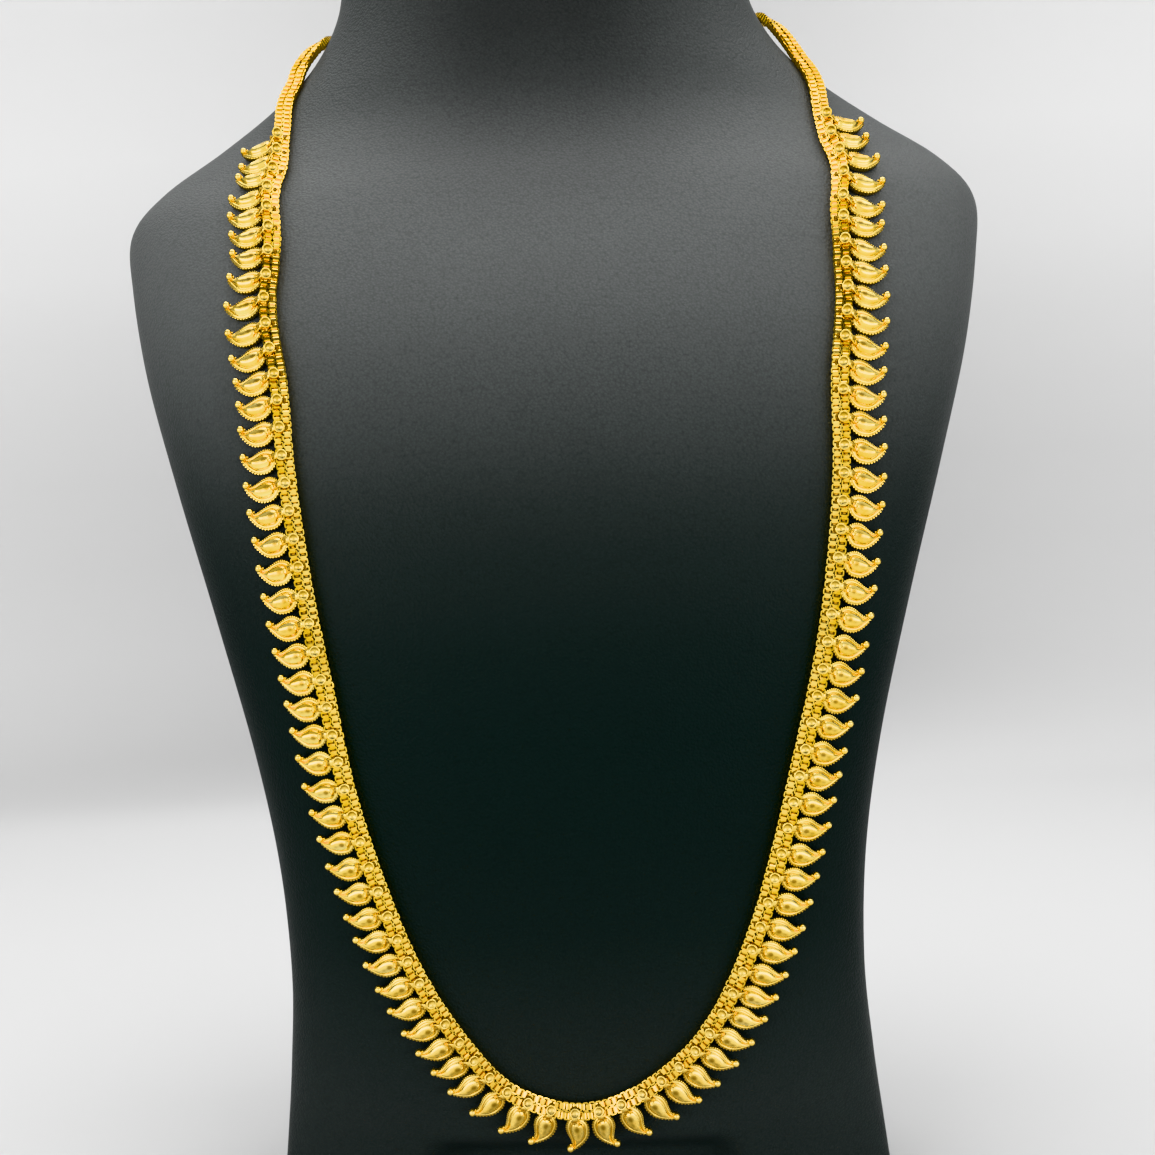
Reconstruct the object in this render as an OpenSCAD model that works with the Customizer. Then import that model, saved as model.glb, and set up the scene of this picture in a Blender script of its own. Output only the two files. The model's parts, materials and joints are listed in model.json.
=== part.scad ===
// A long gold necklace of paisley drops on a double box chain, lying on a black neck bust.
// Millimetres. Z is up, the front of the bust faces -Y, and the origin is the middle of its flat foot.

/* [Bust] */
// Height of the bust
bust_h = 352; // [340:1:380]
// Half width across the shoulders
shoulder_half_w = 114.5; // [112:0.5:117]
// Half width at the waist
waist_half_w = 77; // [75:0.5:79]
// How far the chest stands in front of the shoulder line
chest_front = 55; // [53:0.5:57]
// Half width of the neck
neck_half_w = 56.5; // [54.5:0.5:58]

/* [Chain] */
// Width of one row of the double chain
row_w = 1.9; // [1.7:0.05:1.9]
// Spacing of the two rows, centre to centre
row_pitch = 2.1; // [2.1:0.05:2.3]
// Height of the rows' centre over the bust
row_lift = 1.8; // [1.8:0.05:2]

/* [Drops] */
// Number of drops up the left side from the one at the bottom
left_drops = 43; // [30:1:43]
// Number of drops up the right side
right_drops = 44; // [30:1:44]
// Mean spacing of the drops along the chain
drop_pitch = 6.4; // [6.35:0.05:6.45]
// Height of a drop's ribbed skirt
skirt_h = 1.5; // [1.2:0.1:1.8]
// Radius of the round cup at a drop's root
cup_r = 1.2; // [1:0.05:1.3]
// Radius of the ball at a drop's curled tip
ball_r = 0.85; // [0.7:0.05:0.9]

/* [Clasp] */
// Length of the clasp at the back of the neck
clasp_l = 14; // [10:1:18]
// Thickness of the clasp
clasp_t = 2.6; // [2.4:0.1:3]

/* [Hidden] */
gap = 0.15;
bust_colour = "#26282a";
gold = "#d9a520";

// Sections of the bust, from the foot up
// [height, half width, front, back, widest line behind the origin, roundness power]
SECTIONS = [
    [  0,   84,   14,   56,  0, 2.8],
    [ 20,   81.5, 20,   56,  0, 3.0],
    [ 40,   79,   28,   56,  0, 3.2],
    [ 65,   waist_half_w, 37, 56, 0, 3.2],
    [ 95,   78,   45.5, 57,  0, 3.2],
    [125,   82.5, 52,   58,  0, 3.2],
    [160,   91,   chest_front, 60, 0, 3.2],
    [195,  101,   53,   61,  0, 3.1],
    [225,  109.5, 47.5, 61,  0, 2.9],
    [250,  shoulder_half_w, 39.5, 59, 0, 2.6],
    [266,  115.5, 33.5, 57,  0, 2.3],
    [278,  108,   30,   55,  2, 2.0],
    [290,   93,   30,   53,  5, 1.8],
    [302,   78,   33,   50,  8, 1.8],
    [314,   66.5, 36,   46, 11, 1.9],
    [328,   59,   39,   43, 13, 2.0],
    [345,   neck_half_w, 40, 42, 14, 2.0],
    [bust_h, neck_half_w - 1, 39.5, 41.5, 14, 2.0]
];

// Middle line of the double chain, from the clasp down the left side and up the right:
// [x, y, z, degrees that the chain's face turns to the front]
ROUTE = [
    [0, 56, 331, 0], [-16, 54, 331, 0], [-32, 47, 330.5, 0], [-46, 38, 329, 0],
    [-57.5, 25, 327, 10], [-61, 14, 325, 25], [-62.8, 5, 319, 40], [-65.9, -1, 311, 40],
    [-67.2, -6, 302, 30], [-68, -14, 289, 30], [-67.4, -23, 275, 28], [-67.1, -34, 254, 25],
    [-66.5, -39, 238, 25], [-62.9, -45, 217, 22], [-61.2, -48.5, 196, 24], [-58.3, -50.5, 172, 25],
    [-54, -50, 146, 25], [-50, -47, 121, 25], [-44.8, -43, 97, 25], [-37.7, -38, 75, 25],
    [-28.8, -33, 56, 30], [-19, -28, 41.5, 35], [-9, -25.5, 35, 40], [1, -25, 33, 40],
    [11, -26, 35.5, 40], [20, -28, 41.5, 35], [30, -31.5, 51.5, 30], [38, -35.5, 64.5, 25],
    [46, -40, 84.5, 25], [50.5, -43, 102, 25], [55, -46, 121, 25], [61, -48, 145, 28],
    [64.5, -48.5, 165, 26], [67.5, -47.5, 190, 24], [68.8, -45, 213, 21], [71.5, -39, 236, 20],
    [72.6, -32.5, 255, 20], [72.3, -20, 278, 28], [72, -12, 290, 18], [70.4, -4.5, 301, 26],
    [67.8, 1.5, 310, 36], [64.1, 6, 318, 40], [61, 14, 325, 25], [57.5, 25, 328, 10],
    [46, 38, 329, 0], [32, 47, 330.5, 0], [16, 54, 331, 0], [0, 56, 331, 0]
];
bottom_t = 22.8;

// Where the drops hang: [number from the bottom one, left side below 0, mean spacings along the chain]
PLACES = [
    [-43, -44.1], [-42, -43.1], [-41, -41.95], [-40, -40.9], [-38, -38.95], [-37, -37.85], [-36, -36.8],
    [-35, -35.8], [-34, -34.7], [-24, -24.3], [-12, -11.9], [0, 0], [4, 3.95], [12, 11.7], [24, 23.7],
    [34, 33.9], [40, 39.9], [44, 44.4]
];

// How far the drops swing up along the chain: [number from the bottom one, left side below 0, degrees]
SWING = [
    [-43, -4], [-41, -3], [-40, 0], [-39, 7], [-38, 10], [-37, 9], [-36, 3], [-35, 1], [-34, 5], [-22, 8],
    [-12, 7], [-1, 10], [0, 3], [1, 7], [4, 12], [8, 8], [12, 4], [24, 1], [36, -2], [38, -1], [40, 3],
    [41, 2], [42, -4], [43, 6], [44, 7]
];

// Outline of a drop, from its root along the lower edge to the tip and back: [outward, along the chain]
DROP = [
    [0.9, -0.7], [1.1, -1.9], [2.1, -2.95], [3.5, -3.75], [5.8, -3.9], [7.4, -3.3], [8.7, -2.4], [9.9, -1.3],
    [10.5, -0.2], [10.4, 0.4], [9.3, 0.4], [8.5, 0.05], [7.3, 0.6], [5.5, 1.6], [4.5, 1.9], [3.4, 1.95],
    [2.2, 1.45], [1.0, 0.6]
];

// A smooth curve through the rows of a table, with t running from 0 to the last row
function curve(P, t) =
    let (
        n = len(P),
        i = min(floor(t), n - 2),
        u = t - i,
        a = i == 0 ? 2 * P[0] - P[1] : P[i - 1],
        b = P[i],
        c = P[i + 1],
        d = i == n - 2 ? 2 * P[n - 1] - P[n - 2] : P[i + 2]
    )
    0.5 * (2 * b + (c - a) * u + (2 * a - 5 * b + 4 * c - d) * u * u + (3 * b - a - 3 * c + d) * u * u * u);

function unit(v) = v / norm(v);

// The bust's section at any height
SMOOTH = [for (t = [0:0.1:len(SECTIONS) - 1]) curve(SECTIONS, t)];
function column(k) = [for (r = SMOOTH) [r[0], r[k]]];
WIDTH_AT = column(1);
FRONT_AT = column(2);
BACK_AT = column(3);
AXIS_AT = column(4);
POWER_AT = column(5);

// How far out a point is from the section's axis: 1 on the bust's surface, less inside
function reach(p) =
    let (
        y = p[1] - lookup(p[2], AXIS_AT),
        d = lookup(p[2], y < 0 ? FRONT_AT : BACK_AT),
        n = lookup(p[2], POWER_AT)
    )
    pow(pow(abs(p[0]) / lookup(p[2], WIDTH_AT), n) + pow(abs(y) / d, n), 1 / n);

// A point moved level, to or from the section's axis, onto the bust's surface
function seat(p) = slide(p, 1 / reach(p));
// The same only outward, so that a point clear of the bust stays where it is
function clear(p) = slide(p, max(1, 1 / reach(p)));
function slide(p, k) = let (a = lookup(p[2], AXIS_AT)) [p[0] * k, a + (p[1] - a) * k, p[2]];

// Direction straight out of the bust's surface
probe = 0.5;
function outward(p) =
    unit([for (d = [[probe, 0, 0], [0, probe, 0], [0, 0, probe]]) reach(p + d) - reach(p - d)]);

// A line as three tables of running length against x, y and z, for reading a point at a length
function running(P) =
    [for (i = 0, s = 0; i < len(P); s = s + norm(P[min(i + 1, len(P) - 1)] - P[i]), i = i + 1) s];
function line_table(P) =
    let (run = running(P))
    [for (k = [0:2]) [for (i = [0:len(P) - 1]) [run[i], P[i][k]]]];
function line_length(table) = table[0][len(table[0]) - 1][0];
function at(table, s) = [for (k = [0:2]) lookup(s, table[k])];

// The chain's middle line, seated on the bust: first fine, then in the straight pieces of the tubes
rings = 110;
STEPS = [for (t = [0:0.1:len(ROUTE) - 1]) curve(ROUTE, t)];
FINE = line_table([for (p = STEPS) clear(p)]);
fine_l = line_length(FINE);
MIDDLE = line_table([for (i = [0:rings]) clear(at(FINE, fine_l * i / rings))]);
loop_l = line_length(MIDDLE);
RUN = running([for (p = STEPS) clear(p)]);
TURN_AT = [for (i = [0:len(STEPS) - 1]) [RUN[i] * loop_l / fine_l, STEPS[i][3]]];

// Direction of the chain at a length, straight out of the bust there, and level across it on the bust
step = 4;
function heading(s) = unit(at(MIDDLE, min(s + step, loop_l)) - at(MIDDLE, max(s - step, 0)));
function upright(s) = let (h = heading(s), n = outward(at(MIDDLE, s))) unit(n - (n * h) * h);
function sideways(s) = cross(heading(s), upright(s));

// The chain's own frame, turned to the front about the middle of its two rows
function turn(s) = lookup(s, TURN_AT);
function normal(s) = cos(turn(s)) * upright(s) - sin(turn(s)) * sideways(s);
function across(s) = cross(heading(s), normal(s));
function middle(s) = at(MIDDLE, s) + row_lift * (upright(s) - normal(s));

// Black neck bust: rounded sections joined from the foot up, with a soft dent low in the front
sides = 48;
dent = [43, 24, 8];
dent_soft = 10;
top_round = 5;
function smooth(u) = let (v = max(0, min(1, u))) v * v * (3 - 2 * v);
function dent_in(x, z) =
    dent[2] * smooth((dent[0] - abs(x)) / dent_soft) * smooth((dent[1] - z) / dent_soft);
function power(c, n) = sign(c) * pow(abs(c), 2 / n);
function section(z, inset) = [
    for (k = [0:sides - 1])
        let (
            a = 360 * k / sides,
            n = lookup(z, POWER_AT),
            front = sin(a) < 0,
            x = (lookup(z, WIDTH_AT) - inset) * power(cos(a), n),
            y = (lookup(z, front ? FRONT_AT : BACK_AT) - inset) * power(sin(a), n)
        )
        [x, lookup(z, AXIS_AT) + y + (front ? dent_in(x, z) : 0), z]
];
HEIGHTS = concat(
    [for (z = [0:4:28]) z],
    [for (z = [36:14:232]) z],
    [for (z = [244:7:314]) z],
    [324, 335, bust_h - top_round]
);
ROUNDED = [for (a = [22.5:22.5:67.5]) [bust_h - top_round * (1 - sin(a)), top_round * (1 - cos(a))]];
module neck_bust() {
    levels = concat([for (z = HEIGHTS) [z, 0]], ROUNDED, [[bust_h, top_round]]);
    skin(concat([for (l = levels) section(l[0], l[1])]), bust_colour);
}

// A closed solid through rings of equal length
module skin(RINGS, tint) {
    n = len(RINGS[0]);
    last = len(RINGS) - 1;
    color(tint) polyhedron(
        points = [for (ring = RINGS) for (p = ring) p],
        faces = concat(
            [[for (k = [0:n - 1]) k]],
            [[for (k = [n - 1:-1:0]) last * n + k]],
            [
                for (j = [0:last - 1], k = [0:n - 1])
                    let (m = (k + 1) % n)
                    for (face = [[j * n + k, j * n + n + k, j * n + n + m], [j * n + k, j * n + n + m, j * n + m]])
                        face
            ]
        )
    );
}

// One row of the double chain: an eight-sided tube from one side of the clasp to the other
tube_sides = 8;
module chain_row(side) {
    first = clasp_l / 2 + gap;
    stations = [for (i = [0:rings]) max(first, min(loop_l - first, MIDDLE[0][i][0]))];
    skin([
        for (i = [1:rings - 1])
            let (
                s = i == 1 ? first : i == rings - 1 ? loop_l - first : stations[i],
                centre = middle(s) + row_lift * normal(s) + side * row_pitch / 2 * across(s)
            )
            [
                for (k = [0:tube_sides - 1])
                    let (a = 360 * (k + 0.5) / tube_sides)
                    centre + row_w / 2 * (cos(a) * across(s) + sin(a) * normal(s))
            ]
    ], gold);
}
module chain_inner_row() chain_row(-1);
module chain_outer_row() chain_row(1);

// A drop's hook in the chain's own frame: a cup over the chain, a strap under it and a post into the body
round_sides = 24;
cup_x = 0.4;
cup_z = row_lift + row_w / 2 + gap;
cup_h = 0.5;
dish_r = 0.8;
dish_h = 0.3;
strap_x = 0.2;
strap_z = 0.25;
strap_t = 0.3;
strap_w = 1.2;
root_x = 2.35;
root_t = 1.3;
root_foot = 0.6;
arm_t = 0.4;
module hook(turn) {
    foot = (root_foot - row_lift * (1 - cos(turn)) - root_x * sin(turn)) / cos(turn);
    difference() {
        union() {
            translate([root_x, -strap_w / 2, foot]) cube([root_t, strap_w, cup_z + arm_t - foot]);
            translate([cup_x, -strap_w / 2, cup_z]) cube([root_x + root_t - cup_x, strap_w, arm_t]);
            translate([cup_x, 0, cup_z]) cylinder(r = cup_r, h = cup_h, $fn = round_sides);
            translate([strap_x, -strap_w / 2, strap_z]) cube([root_x - strap_x + root_t / 2, strap_w, strap_t]);
        }
        translate([cup_x, 0, cup_z + cup_h - dish_h]) cylinder(r = dish_r, h = cup_h, $fn = round_sides);
    }
}

// A drop's body, with the middle line on the bust as origin, x away from it, y along it and z off the bust
body_x = 1.15;
skirt_z = 0.4;
KERNEL = [[0.78, 0.45], [0.52, 0.35]];
kernel_centre = [5.2, -0.9];
kernel_end = 9;
ball_at = [9.75, 0.5];
module body() {
    kernel_z = skirt_z + skirt_h;
    translate([body_x, 0, skirt_z]) linear_extrude(skirt_h) polygon(DROP);
    for (i = [0:len(KERNEL) - 1])
        translate([body_x + kernel_centre[0], kernel_centre[1], kernel_z + (i == 0 ? 0 : KERNEL[0][1])])
            linear_extrude(KERNEL[i][1])
                polygon([for (p = DROP) if (p[0] < kernel_end) KERNEL[i][0] * (p - kernel_centre)]);
    translate([body_x + ball_at[0], ball_at[1], kernel_z]) sphere(r = ball_r, $fn = round_sides);
}

// A frame's three directions and its origin as one move
module move_to(x, y, z, o) {
    multmatrix([[x[0], y[0], z[0], o[0]], [x[1], y[1], z[1], o[1]], [x[2], y[2], z[2], o[2]], [0, 0, 0, 1]])
        children();
}

// Place of a drop: its hook on the chain, its tip down on the bust and its middle clear of it
bottom_s = line_length(line_table([for (t = [0:0.1:bottom_t]) clear(curve(ROUTE, t))])) * loop_l / fine_l;
reach_out = 9;
module place(i) {
    s = bottom_s + lookup(i, PLACES) * drop_pitch;
    p = at(MIDDLE, s);
    tip = seat(p + reach_out * sideways(s));
    x = unit(tip - p);
    z = unit(cross(x, heading(s)));
    bulge = (seat(p + reach_out / 2 * sideways(s)) - p) * z;
    move_to(across(s), heading(s), normal(s), middle(s)) hook(turn(s));
    move_to(x, cross(z, x), z, p + max(0, bulge) * z)
        mirror([0, i > 0 ? 0 : 1, 0])
            translate([cup_x, 0, 0]) rotate(lookup(i, SWING)) translate([-cup_x, 0, 0]) body();
}
module drops_left() color(gold) for (i = [0:-1:-left_drops]) place(i);
module drops_right() color(gold) for (i = [1:right_drops]) place(i);

// Clasp behind the neck: one plain rounded bar that both rows run up to
clasp_rim = 0.3;
clasp_w = row_pitch + row_w + 2 * clasp_rim;
module clasp() {
    back = at(MIDDLE, 0);
    color(gold) translate([back[0], back[1] + row_lift, back[2]]) rotate([0, 90, 0])
        linear_extrude(clasp_l, center = true)
            square([clasp_w, clasp_t], center = true);
}

neck_bust();
chain_inner_row();
chain_outer_row();
drops_left();
drops_right();
clasp();
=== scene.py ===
# A long gold necklace of paisley drops on a double box chain, lying on a black leatherette neck bust.
import json

import bmesh
import bpy
import numpy as np
from mathutils import Matrix

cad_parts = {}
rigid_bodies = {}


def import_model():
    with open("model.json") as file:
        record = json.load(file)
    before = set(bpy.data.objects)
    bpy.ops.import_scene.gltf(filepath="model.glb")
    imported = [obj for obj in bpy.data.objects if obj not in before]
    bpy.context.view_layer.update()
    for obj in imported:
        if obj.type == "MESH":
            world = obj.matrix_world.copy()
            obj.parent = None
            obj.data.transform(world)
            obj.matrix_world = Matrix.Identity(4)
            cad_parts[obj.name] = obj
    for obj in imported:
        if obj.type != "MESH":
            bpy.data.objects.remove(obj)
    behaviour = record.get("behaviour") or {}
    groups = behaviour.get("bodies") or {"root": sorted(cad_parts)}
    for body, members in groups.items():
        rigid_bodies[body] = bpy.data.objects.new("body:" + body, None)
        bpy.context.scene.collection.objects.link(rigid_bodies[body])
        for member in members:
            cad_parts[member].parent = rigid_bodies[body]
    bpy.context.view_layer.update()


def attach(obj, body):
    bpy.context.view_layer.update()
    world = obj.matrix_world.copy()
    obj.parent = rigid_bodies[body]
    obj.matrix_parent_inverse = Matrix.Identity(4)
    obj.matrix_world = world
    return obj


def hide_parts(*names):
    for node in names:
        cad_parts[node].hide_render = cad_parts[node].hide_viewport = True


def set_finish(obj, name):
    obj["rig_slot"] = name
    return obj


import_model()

# Tables and sizes below are in millimetres, as in the part's source, and meshes are made in metres
MM = 0.001

# Sections of the bust, from the foot up:
# height, half width, front, back, widest line behind the origin, roundness power
SECTIONS = np.array([
    [0, 84, 14, 56, 0, 2.8],
    [20, 81.5, 20, 56, 0, 3.0],
    [40, 79, 28, 56, 0, 3.2],
    [65, 77, 37, 56, 0, 3.2],
    [95, 78, 45.5, 57, 0, 3.2],
    [125, 82.5, 52, 58, 0, 3.2],
    [160, 91, 55, 60, 0, 3.2],
    [195, 101, 53, 61, 0, 3.1],
    [225, 109.5, 47.5, 61, 0, 2.9],
    [250, 114.5, 39.5, 59, 0, 2.6],
    [266, 115.5, 33.5, 57, 0, 2.3],
    [278, 108, 30, 55, 2, 2.0],
    [290, 93, 30, 53, 5, 1.8],
    [302, 78, 33, 50, 8, 1.8],
    [314, 66.5, 36, 46, 11, 1.9],
    [328, 59, 39, 43, 13, 2.0],
    [345, 56.5, 40, 42, 14, 2.0],
    [352, 55.5, 39.5, 41.5, 14, 2.0],
])
HEIGHT = 352
TOP_ROUND = 5
DENT = (43, 24, 8)
DENT_SOFT = 10

# Middle line of the double chain, from the clasp down the left side and up the right:
# x, y, z and the degrees that the chain's face turns to the front
ROUTE = np.array([
    [0, 56, 331, 0], [-16, 54, 331, 0], [-32, 47, 330.5, 0], [-46, 38, 329, 0],
    [-57.5, 25, 327, 10], [-61, 14, 325, 25], [-62.8, 5, 319, 40], [-65.9, -1, 311, 40],
    [-67.2, -6, 302, 30], [-68, -14, 289, 30], [-67.4, -23, 275, 28], [-67.1, -34, 254, 25],
    [-66.5, -39, 238, 25], [-62.9, -45, 217, 22], [-61.2, -48.5, 196, 24], [-58.3, -50.5, 172, 25],
    [-54, -50, 146, 25], [-50, -47, 121, 25], [-44.8, -43, 97, 25], [-37.7, -38, 75, 25],
    [-28.8, -33, 56, 30], [-19, -28, 41.5, 35], [-9, -25.5, 35, 40], [1, -25, 33, 40],
    [11, -26, 35.5, 40], [20, -28, 41.5, 35], [30, -31.5, 51.5, 30], [38, -35.5, 64.5, 25],
    [46, -40, 84.5, 25], [50.5, -43, 102, 25], [55, -46, 121, 25], [61, -48, 145, 28],
    [64.5, -48.5, 165, 26], [67.5, -47.5, 190, 24], [68.8, -45, 213, 21], [71.5, -39, 236, 20],
    [72.6, -32.5, 255, 20], [72.3, -20, 278, 28], [72, -12, 290, 18], [70.4, -4.5, 301, 26],
    [67.8, 1.5, 310, 36], [64.1, 6, 318, 40], [61, 14, 325, 25], [57.5, 25, 328, 10],
    [46, 38, 329, 0], [32, 47, 330.5, 0], [16, 54, 331, 0], [0, 56, 331, 0],
])
BOTTOM_T = 22.8
ROW_W = 1.9
ROW_PITCH = 2.1
ROW_LIFT = 1.8
CLASP_L = 14
CLASP_T = 2.6
GAP = 0.15

# Drops: how many up each side of the bottom one, where they hang in mean spacings along the chain, and how
# many degrees they swing up the chain
LEFT_DROPS = 43
RIGHT_DROPS = 44
DROP_PITCH = 6.4
PLACES = np.array([
    [-43, -44.1], [-42, -43.1], [-41, -41.95], [-40, -40.9], [-38, -38.95], [-37, -37.85], [-36, -36.8],
    [-35, -35.8], [-34, -34.7], [-24, -24.3], [-12, -11.9], [0, 0], [4, 3.95], [12, 11.7], [24, 23.7],
    [34, 33.9], [40, 39.9], [44, 44.4],
])
SWING = np.array([
    [-43, -4], [-41, -3], [-40, 0], [-39, 7], [-38, 10], [-37, 9], [-36, 3], [-35, 1], [-34, 5], [-22, 8],
    [-12, 7], [-1, 10], [0, 3], [1, 7], [4, 12], [8, 8], [12, 4], [24, 1], [36, -2], [38, -1], [40, 3],
    [41, 2], [42, -4], [43, 6], [44, 7],
])
REACH_OUT = 9
HANG = 0.5

# A drop's two edges, each from the middle of its root to the curled tip: outward, along the chain
BODY_X = 1.15
LOWER = np.array([
    [0.85, -0.05], [0.95, -0.95], [1.3, -2.0], [2.15, -3.0], [3.5, -3.75], [5.8, -3.92], [7.4, -3.35],
    [8.7, -2.45], [9.8, -1.4], [10.45, -0.35], [10.45, 0.3], [9.95, 0.72],
])
UPPER = np.array([
    [0.85, -0.05], [1.15, 0.85], [2.2, 1.6], [3.4, 1.98], [4.5, 1.92], [5.5, 1.58], [6.7, 0.9],
    [7.7, 0.38], [8.5, 0.12], [9.2, 0.25], [9.6, 0.48], [9.95, 0.72],
])
CUP_X = 0.4
CUP_Z = ROW_LIFT + ROW_W / 2 + GAP
CUP_LEAN = 0.2
CUP_LEAN_Z = 168
CUP_CLEAR = 1.3
CUP_OUT = 0.9
BALL = (9.8, 0.5, 2.0)
BALL_R = 0.95
TAIL_FROM = 0.36

# The drop's edge, ring by ring from under the plate to the groove: inset from the outline, height, the most
# of the way to the spine that the inset may take, how far the beads stand out, painted shade value, and the
# painted shade added to it between beads
EDGE = np.array([
    [0.26, 0.42, 0.50, 0.0, 0.7, 0.0],
    [0.05, 0.55, 0.10, 0.03, 0.3, 0.6],
    [0.0, 1.3, 0.03, 0.09, 0.05, 0.9],
    [-0.05, 1.64, -0.02, 0.15, 0.0, 0.95],
    [0.13, 1.80, 0.13, 0.14, 0.0, 0.9],
    [0.28, 1.62, 0.26, 0.02, 0.75, 0.1],
    [0.42, 1.90, 0.38, 0.0, 0.0, 0.0],
    [0.70, 2.02, 0.56, 0.0, 0.0, 0.0],
    [0.88, 1.92, 0.68, 0.0, 0.0, 0.0],
    [0.97, 1.72, 0.76, 0.0, 0.75, 0.0],
])
# Painted dark reflections on the kernel, as brown spots: outward, along the chain, their reach in each, and
# how brown
DARK_REFLECTIONS = np.array([[3.7, -0.8, 0.75, 0.6, 1.3], [5.4, -1.3, 0.85, 0.45, 0.6]])


def curve(table, t):
    """A smooth curve through the rows of a table: the Catmull-Rom cubic of the four rows round each t."""
    t = np.clip(np.atleast_1d(t), 0, len(table) - 1)
    i = np.minimum(t.astype(int), len(table) - 2)
    u = (t - i)[:, None]
    ends = np.vstack([2 * table[0] - table[1], table, 2 * table[-1] - table[-2]])
    a, b, c, d = ends[i], ends[i + 1], ends[i + 2], ends[i + 3]
    return 0.5 * (2 * b + (c - a) * u + (2 * a - 5 * b + 4 * c - d) * u**2 + (3 * b - a - 3 * c + d) * u**3)


SMOOTH = curve(SECTIONS, np.arange(0, len(SECTIONS) - 0.95, 0.1))


def section_at(z):
    """Half width, front, back, axis and power of the bust's section at heights z."""
    return [np.interp(z, SMOOTH[:, 0], SMOOTH[:, k]) for k in range(1, 6)]


def reach(p):
    """How far out points are from the section's axis: 1 on the bust's surface, less inside."""
    w, front, back, axis, n = section_at(p[..., 2])
    y = p[..., 1] - axis
    deep = np.where(y < 0, front, back)
    return ((np.abs(p[..., 0]) / w) ** n + (np.abs(y) / deep) ** n) ** (1 / n)


def slide(p, k):
    """Points moved level to k times their distance from the section's axis."""
    axis = section_at(p[..., 2])[3]
    return np.stack([p[..., 0] * k, axis + (p[..., 1] - axis) * k, p[..., 2]], -1)


def seat(p):
    """Points moved level onto the bust's surface."""
    return slide(p, 1 / reach(p))


def clear(p):
    """Points inside the bust moved out onto its surface."""
    return slide(p, np.maximum(1, 1 / reach(p)))


def soft(u):
    """A smooth step: 0 up to 0, 1 from 1 on, and 3uu - 2uuu between."""
    v = np.clip(u, 0, 1)
    return v * v * (3 - 2 * v)


def unit(v):
    return v / np.linalg.norm(v, axis=-1, keepdims=True)


def outward(p, probe=0.5):
    """Direction straight out of the bust's surface: the slope of reach."""
    steps = np.eye(3) * probe
    return unit(np.stack([reach(p + d) - reach(p - d) for d in steps], -1))


def run_of(p):
    """Running length along a line of points."""
    return np.concatenate([[0], np.cumsum(np.linalg.norm(np.diff(p, axis=0), axis=1))])


# The chain's middle line, seated on the bust
STEPS = curve(ROUTE, np.arange(0, len(ROUTE) - 0.95, 0.1))
FINE = clear(STEPS[:, :3])
RUN = run_of(FINE)
LOOP = RUN[-1]
BOTTOM_S = run_of(clear(curve(ROUTE, np.arange(0, BOTTOM_T + 0.05, 0.1))[:, :3]))[-1]


def along(line, run, s):
    """Points of a line at running lengths s."""
    return np.stack([np.interp(s, run, line[:, k]) for k in range(line.shape[1])], -1)


def chain_frame(s, step=1.0):
    """At lengths s: the line's point on the bust, its heading and sideways across it on the bust; then the
    chain's own across and normal, these two turned to the front by an angle about the middle of the rows,
    and the point under that middle."""
    p = along(FINE, RUN, s)
    h = unit(along(FINE, RUN, np.minimum(s + step, LOOP)) - along(FINE, RUN, np.maximum(s - step, 0)))
    n = outward(p)
    upright = unit(n - (n * h).sum(-1, keepdims=True) * h)
    sideways = np.cross(h, upright)
    turn = np.radians(np.interp(s, RUN, STEPS[:, 3]))[:, None]
    normal = np.cos(turn) * upright - np.sin(turn) * sideways
    return p, h, sideways, np.cross(h, normal), normal, p + ROW_LIFT * (upright - normal)


def make_mesh(name, verts, faces, material, smooth=True, shade=None):
    """A mesh object from points in millimetres, with an optional painted shade value for each point."""
    mesh = bpy.data.meshes.new(name)
    mesh.from_pydata((np.asarray(verts) * MM).tolist(), [], [list(f) for f in faces])
    mesh.materials.append(material)
    mesh.polygons.foreach_set("use_smooth", np.full(len(mesh.polygons), smooth))
    if shade is not None:
        layer = mesh.attributes.new("painted_shade", "FLOAT", "POINT")
        layer.data.foreach_set("value", np.asarray(shade, np.float32))
    mesh.update()
    piece = bpy.data.objects.new(name, mesh)
    bpy.context.scene.collection.objects.link(piece)
    return piece


def grid_faces(rows, columns, close_rows=False, close_columns=False, first=0):
    """Four-sided faces of a grid of points numbered row by row."""
    r = np.arange(rows if close_rows else rows - 1)
    c = np.arange(columns if close_columns else columns - 1)
    r, c = np.meshgrid(r, c, indexing="ij")
    r2, c2 = (r + 1) % rows, (c + 1) % columns
    quads = np.stack([r * columns + c, r * columns + c2, r2 * columns + c2, r2 * columns + c], -1)
    return quads.reshape(-1, 4) + first


def put(piece, node, slot):
    """The piece stands for its CAD node, rides with the one body and takes the record's finish."""
    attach(piece, "root")
    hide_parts(node)
    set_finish(piece, slot)


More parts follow.
